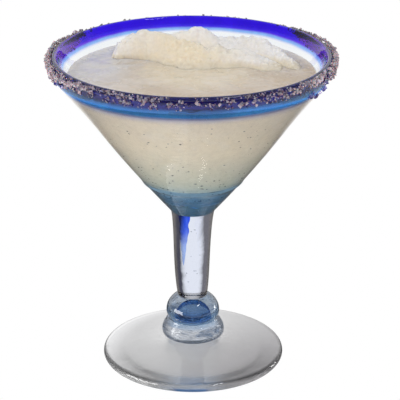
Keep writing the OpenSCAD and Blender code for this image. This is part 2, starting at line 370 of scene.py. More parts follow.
class Web:
    """Adds and joins the nodes of one material or group."""

    def __init__(self, tree):
        self.tree = tree

    def add(self, kind, inputs=None, **settings):
        node = self.tree.nodes.new(kind)
        for key, value in settings.items():
            setattr(node, key, value)
        for key, value in (inputs or {}).items():
            self.set(node, key, value)
        return node

    def set(self, node, key, value):
        socket = node.inputs[key]
        if isinstance(value, bpy.types.NodeSocket):
            self.tree.links.new(value, socket)
        elif isinstance(value, tuple) and len(value) == 3 and socket.type == "RGBA":
            socket.default_value = (*value, 1)
        else:
            socket.default_value = value

    def math(self, kind, a, b=0.0, c=0.0, clamp=False):
        node = self.add("ShaderNodeMath", operation=kind, use_clamp=clamp)
        for i, value in enumerate((a, b, c)):
            self.set(node, i, value)
        return node.outputs[0]

    def plus(self, a, b, clamp=False):
        return self.math("ADD", a, b, clamp=clamp)

    def minus(self, a, b):
        return self.math("SUBTRACT", a, b)

    def times(self, a, b):
        return self.math("MULTIPLY", a, b)

    def times_plus(self, a, b, c, clamp=False):
        """a times b, plus c."""
        return self.math("MULTIPLY_ADD", a, b, c, clamp)

    def ramp(self, value, low, high, to_low=0.0, to_high=1.0):
        node = self.add("ShaderNodeMapRange", {"Value": value, "From Min": low, "From Max": high,
                                               "To Min": to_low, "To Max": to_high},
                        interpolation_type="SMOOTHSTEP")
        return node.outputs["Result"]

    def near(self, value, middle, core, fade):
        """1 within core of the middle, down to 0 at fade from it."""
        off = self.math("ABSOLUTE", self.minus(value, middle))
        return self.ramp(off, core, fade, 1.0, 0.0)

    def mix(self, factor, a, b, blend="MIX"):
        node = self.add("ShaderNodeMix", data_type="RGBA", blend_type=blend)
        self.set(node, 0, factor)
        self.set(node, 6, a)
        self.set(node, 7, b)
        return node.outputs[2]

    def noise(self, scale, detail=2.0, rough=0.5, where=None, warp=0.0):
        inputs = {"Scale": scale, "Detail": detail, "Roughness": rough, "Distortion": warp}
        if where is not None:
            inputs["Vector"] = where
        return self.add("ShaderNodeTexNoise", inputs).outputs["Fac"]

    def place(self):
        return self.add("ShaderNodeTexCoord").outputs["Object"]

    def split(self, where):
        """X, Y and Z of a place, by name."""
        return self.add("ShaderNodeSeparateXYZ", {"Vector": where}).outputs

    def away(self, part):
        """Distance of a split place from the axis."""
        square = self.plus(self.times(part["X"], part["X"]), self.times(part["Y"], part["Y"]))
        return self.math("SQRT", square)

    def put(self, value, out):
        """Sends a value to a socket of the group's output."""
        self.tree.links.new(value, out)


def group(name, inputs, outputs):
    """Empty shader node group with its sockets, and a web over it."""
    tree = bpy.data.node_groups.new(name, "ShaderNodeTree")
    kinds = {float: "NodeSocketFloat", tuple: "NodeSocketColor"}
    for key, value in inputs.items():
        socket = tree.interface.new_socket(key, in_out="INPUT", socket_type=kinds[type(value)])
        socket.default_value = (*value, 1) if isinstance(value, tuple) else value
    for key, kind in outputs.items():
        tree.interface.new_socket(key, in_out="OUTPUT", socket_type=kinds[kind])
    web = Web(tree)
    return web, web.add("NodeGroupInput").outputs, web.add("NodeGroupOutput").inputs


def blown_surface():
    """Group: height of the slow ripples and the tool rings of hand-worked glass."""
    if "Blown Surface" in bpy.data.node_groups:
        return bpy.data.node_groups["Blown Surface"]
    web, given, out = group("Blown Surface", {"Ripple": 1.0, "Rings": 0.3, "Ripple Scale": 90.0},
                            {"Height": float})
    where = web.place()
    ripple = web.noise(given["Ripple Scale"], 1.5, 0.4, where, 0.6)
    wobble = web.noise(60.0, 1.0, 0.5, where)
    ring = web.math("SINE", web.times_plus(web.split(where)["Z"], 2600.0, web.times(wobble, 9.0)))
    height = web.times_plus(ring, web.times(given["Rings"], 0.12), web.times(ripple, given["Ripple"]))
    web.put(height, out["Height"])
    return web.tree


def cobalt_wash():
    """Group: tint of a wash of cobalt that is full at the lip and fades down the wall."""
    if "Cobalt Wash" in bpy.data.node_groups:
        return bpy.data.node_groups["Cobalt Wash"]
    web, given, out = group(
        "Cobalt Wash",
        {"Lip": LIP_Z, "Full": 4.5, "Fade": 3.0, "Bare": (1.0, 1.0, 1.0),
         "Sky": (0.1, 0.3, 0.6), "Deep": (0.02, 0.01, 0.6), "Streak": (0.55, 0.25, 0.70)},
        {"Colour": tuple})
    where = web.place()
    depth = web.times(web.minus(given["Lip"], web.split(where)["Z"]), 1 / MM)
    depth = web.plus(depth, web.times_plus(web.noise(30.0, 2.0, 0.5, where), 1.6, -0.8))
    past = web.math("DIVIDE", web.minus(depth, given["Full"]), given["Fade"])
    thin = web.ramp(past, 0.0, 0.5)
    gone = web.ramp(past, 0.45, 1.0)
    shade = web.mix(thin, given["Deep"], given["Sky"])
    streak = web.ramp(web.noise(110.0, 3.0, 0.6, where, 0.8), 0.35, 0.7, 0.0, 0.45)
    shade = web.mix(streak, shade, web.mix(1.0, shade, given["Streak"], "MULTIPLY"))
    web.put(web.mix(gone, shade, given["Bare"]), out["Colour"])
    return web.tree


def crushed_ice():
    """Group: colour and height of wet slush, from clear grains to soaked ones."""
    if "Crushed Ice" in bpy.data.node_groups:
        return bpy.data.node_groups["Crushed Ice"]
    web, given, out = group(
        "Crushed Ice",
        {"Snow": (0.9, 0.9, 0.9), "Syrup": (0.8, 0.7, 0.5), "Soak": 0.5, "Grain": 900.0},
        {"Colour": tuple, "Height": float, "Wet": float})
    where = web.place()
    patch = web.noise(70.0, 3.0, 0.6, where, 0.4)
    grain = web.noise(given["Grain"], 3.0, 0.65, where)
    cells = web.add("ShaderNodeTexVoronoi", {"Vector": where, "Scale": given["Grain"]})
    soaked = web.plus(given["Soak"], web.times_plus(patch, 0.9, -0.45), clamp=True)
    tint = web.mix(soaked, given["Snow"], given["Syrup"])
    # Painted shade: grains are slightly darker in the low pits of their bumps.
    pit_shade = web.ramp(grain, 0.25, 0.6, 0.93, 1.0)
    dark = web.add("ShaderNodeCombineColor", {"Red": pit_shade, "Green": pit_shade, "Blue": pit_shade})
    web.put(web.mix(1.0, tint, dark.outputs[0], "MULTIPLY"), out["Colour"])
    rough = web.times_plus(cells.outputs["Distance"], 0.35, grain)
    web.put(rough, out["Height"])
    web.put(web.ramp(patch, 0.35, 0.65, 0.08, 0.38), out["Wet"])
    return web.tree


def use_group(web, tree, values):
    node = web.add("ShaderNodeGroup", node_tree=tree)
    for key, value in values.items():
        web.set(node, key, value)
    return node.outputs


def new_material(name, **sockets):
    """Material with a Principled shader, its plain values set on its own sockets."""
    material = bpy.data.materials.new(name)
    material.use_nodes = True
    web = Web(material.node_tree)
    shader = next(n for n in material.node_tree.nodes if n.type == "BSDF_PRINCIPLED")
    for key, value in sockets.items():
        web.set(shader, key.replace("_", " "), value)
    return material, web, shader


def bump(web, shader, height, distance, strength=1.0):
    node = web.add("ShaderNodeBump", {"Height": height, "Distance": distance, "Strength": strength})
    web.set(shader, "Normal", node.outputs["Normal"])


def edge_on(web, low, high):
    """0 where a surface is seen square on, up to 1 where it is seen edge on."""
    facing = web.add("ShaderNodeLayerWeight", {"Blend": 0.5}).outputs["Facing"]
    return web.ramp(facing, low, high)


def blow(web, shader, ripple, rings, depth):
    """Gives a glass the ripples and tool rings of hand-worked glass, depth mm deep."""
    surface = use_group(web, blown_surface(), {"Ripple": ripple, "Rings": rings})
    bump(web, shader, surface["Height"], depth * MM)


def new_glass(name, roughness=0.0, ior=1.5):
    """Clear material with its web and its shader."""
    return new_material(name, Roughness=roughness, IOR=ior, Transmission_Weight=1.0)


def washed_glass(name, outside):
    """Glass with the cobalt wash, which is darkest where the outside of the wall is looked at: the outside
    faces carry painted shade, a darker copy of the cobalt and a grey tint where seen edge on.
    """
    if name in bpy.data.materials:
        return bpy.data.materials[name]
    glass = bpy.context.scene.martini_glass
    material, web, shader = new_glass(name)
    inner = use_group(web, cobalt_wash(), {
        "Full": 4.6, "Fade": 2.9, "Bare": rgb(glass.clear), "Sky": rgb(glass.sky),
        "Deep": rgb(glass.cobalt)})["Colour"]
    if outside:
        # Painted shade on the outside faces: grey where seen edge on, and a dark blue copy of the cobalt wash.
        bare = web.mix(edge_on(web, 0.45, 0.95), rgb(glass.clear), rgb(glass.wall_edge_shade))
        outer = use_group(web, cobalt_wash(), {
            "Full": 5.4, "Fade": 10.2, "Bare": bare, "Sky": rgb(glass.sea), "Deep": rgb(glass.navy_shade)})
        leaving = web.add("ShaderNodeNewGeometry").outputs["Backfacing"]
        inner = web.mix(leaving, outer["Colour"], inner)
        web.set(shader, "Specular IOR Level", 0.2)
    web.set(shader, "Base Color", inner)
    blow(web, shader, 0.7, 0.15, 0.2)
    return material


def fused_joint():
    """Joint between two pieces of glass fused hot: nothing shows there."""
    if "fused_joint" in bpy.data.materials:
        return bpy.data.materials["fused_joint"]
    return new_material("fused_joint", Alpha=0.0, Roughness=1.0)[0]


def rgb(value):
    return tuple(value)


# ---- the pieces ----

class GLASS_OT_foot(bpy.types.Operator):
    """Domed disc foot with a round edge and a hollow underside"""
    bl_idname = "glass.foot"
    bl_label = "Foot"

    def execute(self, context):
        glass = context.scene.martini_glass
        tints = context.scene.martini_tints
        half = glass.foot_edge / 2
        edge_centre = (FOOT_RADIUS - half, half)
        seat = skin_point("collar", (1, SEAT_Z + 0.03 * MM), (-1, 0))[0]
        hollow = [skin_point("foot", (r, -1), (0, 1)) for r in steps(0, edge_centre[0] - MM, 26)]
        hollow[0] = (0, hollow[0][1])
        slope = [skin_point("foot", (r, 1), (0, -1)) for r in steps(edge_centre[0] - 0.5 * MM,
                                                                    seat + 0.05 * MM, 14)]
        slope[-1] = (seat, SEAT_Z)
        outline = (smooth(hollow, 2) + arc(edge_centre, half, -90, 78, 14) + smooth(slope, 3)
                   + [(0, SEAT_Z)])
        joint = len(outline) - 2
        under = range(2 * len(hollow) - 1)
        piece = turned("foot_disc", outline, [
            self.foot_glass(tints), fused_joint(), self.ground_glass(glass, tints)], {joint}, under)
        stands_for(piece, "clear_glass", "foot")
        return {"FINISHED"}

    def foot_glass(self, tints):
        """Clear and lit on the left and darkened by painted shade on the right, with teal along its lowest
        edge in front.
        """
        material, web, shader = new_glass("foot_glass")
        where = web.place()
        part = web.split(where)
        mottle = web.noise(60.0, 2.0, 0.5, where)
        # Painted shade that deepens towards the right of the foot and a little towards its front.
        right = web.ramp(web.times_plus(part["Y"], -0.5, part["X"]), -15 * MM, 50 * MM)
        tint = web.mix(right, rgb(tints.foot_left_lit), rgb(tints.foot_right_shade))
        front = web.ramp(part["Y"], -FOOT_RADIUS * 0.95, -FOOT_RADIUS * 0.3, 1.0, 0.0)
        low = web.ramp(part["Z"], 0.4 * MM, 1.2 * MM, 1.0, 0.0)
        tint = web.mix(web.times(low, front), tint, rgb(tints.foot_teal))
        across = web.plus(part["X"], 1 * MM)
        off = web.times_plus(mottle, 6 * MM, web.math("ABSOLUTE", across))
        near = web.ramp(off, 9 * MM, 14 * MM, 1.0, 0.0)
        edge = web.ramp(part["Z"], 1.8 * MM, 2.8 * MM, 1.0, 0.0)
        streak = web.times(near, web.times(edge, front))
        web.set(shader, "Base Color", web.mix(streak, tint, rgb(tints.foot_streak)))
        blow(web, shader, 0.5, 0.2, 0.25)
        return material

    def ground_glass(self, glass, tints):
        """Ground underside, with a broken dark ring and a cobalt patch near its front edge."""
        material, web, shader = new_glass("ground_underside", roughness=0.25)
        where = web.place()
        part = web.split(where)
        uneven = web.noise(55.0, 3.0, 0.6, where)
        shown = web.times_plus(uneven, 6 * MM, web.away(part))
        ring_at = FOOT_RADIUS * 0.80 + 3 * MM
        ring = web.near(shown, ring_at, 0.1 * MM, 0.8 * MM)
        front = web.ramp(part["Y"], -FOOT_RADIUS * 0.60, -FOOT_RADIUS * 0.35, 1.0, 0.0)
        tint = web.mix(web.times(ring, web.times(front, 0.6)), rgb(glass.smoke), rgb(tints.ground_ring))
        across = web.math("ABSOLUTE", web.minus(part["X"], 4 * MM))
        near = web.ramp(web.times_plus(uneven, 10 * MM, across), 13 * MM, 18 * MM, 1.0, 0.0)
        outer = web.ramp(shown, ring_at + 2 * MM, ring_at + 3 * MM)
        patch = web.times(near, web.times(outer, front))
        web.set(shader, "Base Color", web.mix(patch, tint, rgb(tints.ground_patch)))
        return material


class GLASS_OT_collar(bpy.types.Operator):
    """Collar pressed between the foot and the knop"""
    bl_idname = "glass.collar"
    bl_label = "Collar"

    def execute(self, context):
        tints = context.scene.martini_tints
        side = smooth(outer_side("collar", SEAT_Z, KNOP_Z, 16), 2)
        outline = [(0, SEAT_Z)] + side + [(0, KNOP_Z)]
        piece = turned("pressed_collar", outline, [
            self.collar_glass(tints), fused_joint()], {0, len(outline) - 2})
        stands_for(piece, "pale_blue_glass", "collar")
        return {"FINISHED"}

    def collar_glass(self, tints):
        """Pressed glass streaked round the collar, with painted shade low down where it meets the foot and at
        its sides.
        """
        material, web, shader = new_glass("collar_glass")
        where = web.place()
        part = web.split(where)
        long = web.add("ShaderNodeMapping", {"Vector": where, "Scale": (1.0, 1.0, 6.0)})
        streak = web.noise(65.0, 3.0, 0.6, long.outputs[0], 1.2)
        tint = web.mix(web.ramp(streak, 0.40, 0.56), rgb(tints.collar_dark), rgb(tints.collar_light))
        blue = web.ramp(part["Z"], KNOP_Z - 3.0 * MM, KNOP_Z - 1.0 * MM, 0.0, 0.8)
        tint = web.mix(blue, tint, rgb(tints.collar_top))
        level = web.times_plus(streak, 2.5 * MM, part["Z"])
        # Painted shade low on the collar where it meets the foot.
        low_shade = web.ramp(level, SEAT_Z + 3.0 * MM, SEAT_Z + 4.4 * MM, 1.0, 0.0)
        tint = web.mix(low_shade, tint, rgb(tints.collar_low_shade))
        # Painted shade where the collar is seen edge on.
        side = edge_on(web, 0.22, 0.6)
        web.set(shader, "Base Color", web.mix(side, tint, rgb(tints.collar_side_shade)))
        bump(web, shader, web.times_plus(streak, 2.0, web.noise(140.0, 2.0, 0.5, where)), 0.5 * MM)
        return material


class GLASS_OT_knop(bpy.types.Operator):
    """Ball knop and the blue heart inside it"""
    bl_idname = "glass.knop"
    bl_label = "Knop"

    def execute(self, context):
        glass = context.scene.martini_glass
        tints = context.scene.martini_tints
        heart_top = top_of("knop_core")
        heart = outer_side("knop_core", KNOP_Z, heart_top, 14)
        heart[-1] = (0, heart_top)
        heart = smooth(heart, 2)
        side = smooth(outer_side("knop", KNOP_Z, STEM_Z, 18), 2)
        outline = list(reversed(heart)) + side + [(0, STEM_Z)]
        inner = set(range(len(heart)))
        piece = turned("ball_knop", outline, [
            self.knop_glass(glass, tints), fused_joint()], inner | {len(outline) - 2})
        stands_for(piece, "pale_blue_glass", "knop")
        core = turned("blue_heart", [(0, KNOP_Z)] + heart, [
            self.heart_glass(tints, heart_top),
            fused_joint()], {0})
        stands_for(core, "cobalt_glass", "knop_core")
        return {"FINISHED"}

    def heart_glass(self, tints, heart_top):
        """Cobalt, deep low down and paler at the top, with dark dashes across it."""
        material, web, shader = new_glass("heart_glass", ior=1.005)
        where = web.place()
        part = web.split(where)
        uneven = web.noise(180.0, 2.0, 0.6, where, 0.8)
        level = web.times_plus(web.minus(uneven, 0.5), 2.5 * MM, part["Z"])
        up = web.ramp(level, KNOP_Z + 0.5 * MM, heart_top)
        tint = web.mix(up, rgb(tints.heart_low), rgb(tints.heart_top))
        middle = KNOP_Z + 0.45 * (heart_top - KNOP_Z)
        band = web.near(level, middle, 0.2 * MM, 0.6 * MM)
        dash = web.times(band, web.ramp(uneven, 0.42, 0.58))
        web.set(shader, "Base Color", web.mix(dash, tint, rgb(tints.heart_dash)))
        return material

    def knop_glass(self, glass, tints):
        """Steel blue streaks through paler glass, bluer low down, with painted shade at the sides."""
        material, web, shader = new_glass("knop_glass")
        where = web.place()
        part = web.split(where)
        streak = web.noise(75.0, 3.0, 0.6, where, 1.5)
        tint = web.mix(web.ramp(streak, 0.35, 0.65), rgb(glass.pale_blue), rgb(tints.knop_streak))
        level = web.times_plus(streak, 3 * MM, part["Z"])
        low = web.ramp(level, KNOP_Z + 4 * MM, STEM_Z - 1.5 * MM, 1.0, 0.0)
        tint = web.mix(low, tint, rgb(tints.knop_low))
        # Painted shade at the sides, where the ball is seen edge on.
        web.set(shader, "Base Color", web.mix(edge_on(web, 0.35, 0.85), tint, rgb(tints.knop_side_shade)))
        blow(web, shader, 0.9, 0.15, 0.16)
        return material


class GLASS_OT_stem(bpy.types.Operator):
    """Solid drawn stem and the cobalt trail in it"""
    bl_idname = "glass.stem"
    bl_label = "Stem"

    def execute(self, context):
        glass = context.scene.martini_glass
        tints = context.scene.martini_tints
        outline = [(0, STEM_Z)] + smooth(outer_side("stem", STEM_Z, BOWL_Z, 18), 3) + [(0, BOWL_Z)]
        piece = turned("drawn_stem", outline, [
            self.stem_glass(glass, tints), fused_joint()], {0, len(outline) - 2})
        stands_for(piece, "clear_glass", "stem")
        self.trail(tints)
        return {"FINISHED"}

    def stem_glass(self, glass, tints):
        """Clear in the middle, with painted shade nearly black beside it and brown along the outline."""
        material, web, shader = new_glass("stem_glass")
        where = web.place()
        part = web.split(where)
        uneven = web.times_plus(web.noise(70.0, 3.0, 0.6, where, 0.5), 0.24, -0.12)
        # Painted shade: the stem darkens where it is seen edge on, nearly black beside the middle, brown along
        # its outline, with its own shade on the right.
        facing = web.add("ShaderNodeLayerWeight", {"Blend": 0.5}).outputs["Facing"]
        shown = web.plus(facing, uneven)
        right = web.ramp(part["X"], 0.0, 6 * MM)
        dark = web.mix(right, rgb(glass.stem_edge_shade), rgb(tints.stem_right_shade))
        side = web.mix(web.ramp(shown, 0.42, 0.75), dark, rgb(glass.stem_outline_shade))
        web.set(shader, "Base Color", web.mix(web.ramp(shown, 0.15, 0.34), rgb(glass.stem_centre), side))
        blow(web, shader, 0.6, 0.2, 0.25)
        return material

    def trail(self, tints):
        """Flat ribbon of cobalt that runs down inside the stem from the bowl."""
        low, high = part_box("stem_trail")
        middle = (low + high) / 2
        width = (high.x - low.x) / 2
        rows, around = 40, 20
        verts, faces = [], []
        for k in range(rows):
            t = k / (rows - 1)
            z = high.z + (low.z - high.z) * t
            r = width * (1 - t) ** 0.75 * (1 + 0.35 * noise.noise(Vector((0, 3, t * 7)))) + 0.05 * MM
            drift = 0.5 * MM * noise.noise(Vector((5, 1, t * 4)))
            for i in range(around):
                a = 2 * math.pi * i / around
                verts.append(hand_shaped(middle.x + drift + r * math.cos(a),
                                         middle.y + 0.8 * r * math.sin(a), z))
        for k in range(rows - 1):
            for i in range(around):
                j = (i + 1) % around
                a, b = k * around, (k + 1) * around
                faces.append((a + i, b + i, b + j, a + j))
        faces.append(tuple(range(around)))
        faces.append(tuple(reversed(range((rows - 1) * around, rows * around))))
        marks = [0] * (len(faces) - 2) + [1, 0]
        piece = new_piece("cobalt_trail", verts, faces, [
            self.trail_glass(tints, low.z, high.z),
            fused_joint()], marks)
        stands_for(piece, "cobalt_glass", "stem_trail")

    def trail_glass(self, tints, low, high):
        """Cobalt that thins out on its way down."""
        material, web, shader = new_glass("trail_glass", ior=1.03)
        where = web.place()
        part = web.split(where)
        long = web.add("ShaderNodeMapping", {"Vector": where, "Scale": (1.0, 1.0, 0.15)})
        streak = web.noise(520.0, 2.0, 0.6, long.outputs[0])
        full = web.ramp(web.times_plus(web.minus(streak, 0.5), 45 * MM, part["Z"]), low, high)
        web.set(shader, "Base Color", web.mix(full, rgb(tints.trail_thin), rgb(tints.trail_full)))
        return material


class GLASS_OT_bowl(bpy.types.Operator):
    """Gather under the bowl and the bowl's clear wall"""
    bl_idname = "glass.bowl"
    bl_label = "Bowl"

    def execute(self, context):
        glass = context.scene.martini_glass
        well = [skin_point("bowl_base", (r, 1), (0, -1))
                for r in steps(0, wall_inside(WELL_Z + 4 * MM, WELL_Z + 5 * MM, 2)[0][0], 8)]
        well[0] = (0, WELL_Z)
        inside = well + wall_inside(well[-1][1] + MM, GATHER_IN_Z, 5)
        outside = self.lapped(wall_outside(BOWL_Z, GATHER_OUT_Z, 24))
        outside = smooth(outside, 2)
        outline = [(0, BOWL_Z)] + outside + list(reversed(smooth(inside, 3)))
        piece = turned("bowl_gather", outline, [
            self.gather_glass(glass, context.scene.martini_tints), fused_joint()], {0, len(outside)})
        stands_for(piece, "pale_blue_glass", "bowl_base")
        outside = smooth(wall_outside(GATHER_OUT_Z, BAND_OUT_Z, 12), 4)
        inside = smooth(wall_inside(GATHER_IN_Z, BAND_IN_Z, 12), 4)
        outline = outside + list(reversed(inside))
        joints = {len(outside) - 1, len(outline) - 1}
        piece = turned("bowl_wall", outline, [
            washed_glass("washed_outside", True), fused_joint(), washed_glass("washed_inside", False)],
            joints, set(range(len(outside), len(outline) - 1)))
        stands_for(piece, "clear_glass", "bowl")
        return {"FINISHED"}

    def lapped(self, outline):
        """The gather's outside with the low ridge where it laps over the wall."""
        ridge_z, half_width, height = GATHER_OUT_Z - 2.2 * MM, 1.8 * MM, 0.5 * MM
        return [(r + height * (1 - soft_step(0, half_width, abs(z - ridge_z))), z) for r, z in outline]

    def gather_glass(self, glass, tints):
        """Steel blue glass, pale at the top of the gather and deep at the stem, with a painted highlight over
        the ridge where it laps the wall and painted shade along its top and at its sides.
        """
        material, web, shader = new_glass("gather_glass")
        where = web.place()
        part = web.split(where)
        level = web.times_plus(web.noise(80.0, 3.0, 0.5, where, 0.8), 5 * MM, part["Z"])
        up = web.ramp(level, BOWL_Z + 9 * MM, GATHER_OUT_Z - 1 * MM)
        tint = web.mix(up, rgb(glass.steel_blue), rgb(glass.gather_top))
        # Painted highlight: a pale band over the ridge at the top of the gather.
        lap_highlight = web.ramp(level, GATHER_OUT_Z - 2.5 * MM, GATHER_OUT_Z - 0.5 * MM)
        tint = web.mix(lap_highlight, tint, rgb(tints.gather_lap_highlight))
        # Painted shade: dark dashes at the very top of the gather, above its ridge.
        dashes = web.ramp(web.noise(95.0, 2.0, 0.5, where), 0.45, 0.6)
        seam = web.ramp(part["Z"], GATHER_OUT_Z - 0.9 * MM, GATHER_OUT_Z - 0.5 * MM)
        tint = web.mix(web.times(dashes, seam), tint, rgb(tints.gather_seam_shade))
        # Painted shade where the gather is seen edge on.
        web.set(shader, "Base Color", web.mix(edge_on(web, 0.55, 0.92), tint, rgb(tints.gather_side_shade)))
        blow(web, shader, 2.0, 0.3, 0.3)
        return material


class GLASS_OT_rim(bpy.types.Operator):
    """Cobalt band and its round lip"""
    bl_idname = "glass.rim"
    bl_label = "Cobalt lip"

    def execute(self, context):
        glass = context.scene.martini_glass
        half = glass.lip_bead / 2
        centre = (LIP_RADIUS - half, LIP_Z - half)
        clear_of = 6 * MM
        bead = []
        for a in steps(math.radians(-15), math.radians(150), 15):
            way = (math.cos(a), math.sin(a))
            start = (centre[0] + clear_of * way[0], centre[1] + clear_of * way[1])
            bead.append(skin_point("rim_band", start, (-way[0], -way[1])))
        outside = wall_outside(BAND_OUT_Z, bead[0][1] - 0.5 * MM, 12)
        inside = wall_inside(BAND_IN_Z, bead[-1][1] - 0.5 * MM, 6)
        ring = smooth(outside + bead + list(reversed(inside)), 3)
        inner_half = range((len(outside) + 10) * 3, len(ring) - 1)
        piece = turned("cobalt_lip", ring, [
            washed_glass("washed_outside", True), fused_joint(), washed_glass("washed_inside", False)],
            {len(ring) - 1}, set(inner_half))
        stands_for(piece, "cobalt_glass", "rim_band")
        return {"FINISHED"}


class GLASS_OT_drink(bpy.types.Operator):
    """Frozen drink that fills the bowl"""
    bl_idname = "glass.drink"
    bl_label = "Drink"

    def execute(self, context):
        drink = context.scene.martini_drink
        wet = 0.15 * MM  # how far the drink reaches into the wall, so no gap shows
        bottom = [skin_point("drink", (r, -1), (0, 1)) for r in steps(0, 18 * MM, 7)]
        bottom[0] = (0, WELL_Z)
        side = wall_inside(bottom[-1][1] + 2 * MM, DRINK_Z, 13)
        skin = [(r + (wet if r > 0 else 0), z - (wet if r < 14 * MM else 0))
                for r, z in smooth(bottom + side, 3)]
        edge = skin[-1]
        surface = [(edge[0] * t, DRINK_Z) for t in steps(0.985, 0.0, 60)]
        piece = turned("frozen_drink", skin + surface, [self.slush(drink)])
        self.ruffle(piece, edge[0])
        stands_for(piece, "frozen_drink", "drink")
        return {"FINISHED"}

    def ruffle(self, piece, radius):
        """Gives the level surface the low relief of slush."""
        for v in piece.data.vertices:
            if v.co.z > DRINK_Z - 0.6 * MM and math.hypot(v.co.x, v.co.y) < radius * 0.995:
                away = soft_step(radius, radius * 0.9, math.hypot(v.co.x, v.co.y))
                here = Vector((v.co.x, v.co.y, 0)) / MM
                v.co.z += MM * away * (0.55 * noise.noise(here / 11) + 0.22 * noise.noise(here / 3.5))
        piece.data.update()

    def slush(self, drink):
        """Frozen drink, greener towards the bottom, its top painted brightest near the middle, with painted
        shade further out.
        """
        material, web, shader = new_material("slush", Roughness=0.3, IOR=1.33)
        where = web.place()
        part = web.split(where)
        uneven = web.noise(28.0, 3.0, 0.6, where, 0.6)
        level = web.times_plus(uneven, 16 * MM, part["Z"])
        up = web.ramp(level, WELL_Z + 6 * MM, WELL_Z + 52 * MM)
        body = web.mix(up, rgb(drink.green), rgb(drink.cream))
        away = web.away(part)
        patch = web.noise(60.0, 3.0, 0.6, where, 0.8)
        behind = web.ramp(web.times_plus(part["X"], -0.4, part["Y"]), -30 * MM, 25 * MM)
        rim = web.ramp(web.times_plus(patch, 30 * MM, away), 30 * MM, 62 * MM)
        rim = web.times(rim, behind)
        top = web.ramp(part["Z"], DRINK_Z - 2 * MM, DRINK_Z - 1 * MM)
        # Painted light and shade: the top is lit near the middle and shaded further out.
        middle = web.ramp(web.times_plus(patch, 20 * MM, away), 24 * MM, 46 * MM, 1.0, 0.0)
        body = web.mix(top, body, web.mix(middle, rgb(drink.outer), rgb(drink.surface)))
        body = web.mix(web.times(top, rim), body, rgb(drink.pale))
        ice = use_group(web, crushed_ice(), {"Snow": rgb(drink.snow), "Syrup": body, "Soak": 1.0,
                                             "Grain": 420.0})
        web.set(shader, "Base Color", ice["Colour"])
        web.set(shader, "Roughness", ice["Wet"])
        web.set(shader, "Subsurface Weight", 0.6)
        web.set(shader, "Subsurface Radius", (1.0, 0.9, 0.75))
        web.set(shader, "Subsurface Scale", 4 * MM)
        bump(web, shader, ice["Height"], 0.25 * MM, 0.6)
        return material


RIDGES = [  # crests of the heap from left to right: x, y, height over the drink, slope in front; in mm
    [(-40, 26, 0.5, 3), (-37.5, 27, 6.6, 5), (-33, 29, 9.0, 7), (-28, 30, 10.6, 8), (-25, 31, 13.0, 9),
     (-22.5, 31, 11.6, 10), (-19, 30, 12.3, 13), (-13, 28, 10.8, 17), (-7, 25, 10.0, 19), (0, 22, 8.8, 17),
     (5, 19, 7.6, 15), (10, 16, 4.0, 10), (14, 14, 0, 6)],
    [(-16, 37, 7.0, 6), (-7, 37, 9.6, 8), (-1, 37, 10.8, 9), (1.4, 37, 13.0, 9), (3, 37, 12.2, 9),
     (6, 37, 11.4, 10), (9, 36, 9.8, 11), (13, 36, 7.2, 12), (18, 38, 6.6, 13), (25, 39, 6.9, 15),
     (31, 36, 6.9, 15), (36, 32, 7.2, 14), (40, 28, 5.4, 14),
     (44, 23, 4.4, 14), (48, 17, 2.6, 12), (53, 12, 0, 10)],
    [(2, 21, 4, 8), (7, 21, 6.4, 12), (11, 21, 7.4, 14), (12.5, 21, 8.6, 14), (14, 20, 7.0, 13),
     (18, 19, 5.6, 12), (25, 19, 6.4, 12), (30, 17, 5.0, 13), (36, 14, 3.2, 13), (44, 11, 0, 11)],
]


GRID = 0.6      # spacing of the heap's mesh, in mm
SUNK = 1.2      # how far the heap reaches into the drink and stays off its edge, in mm


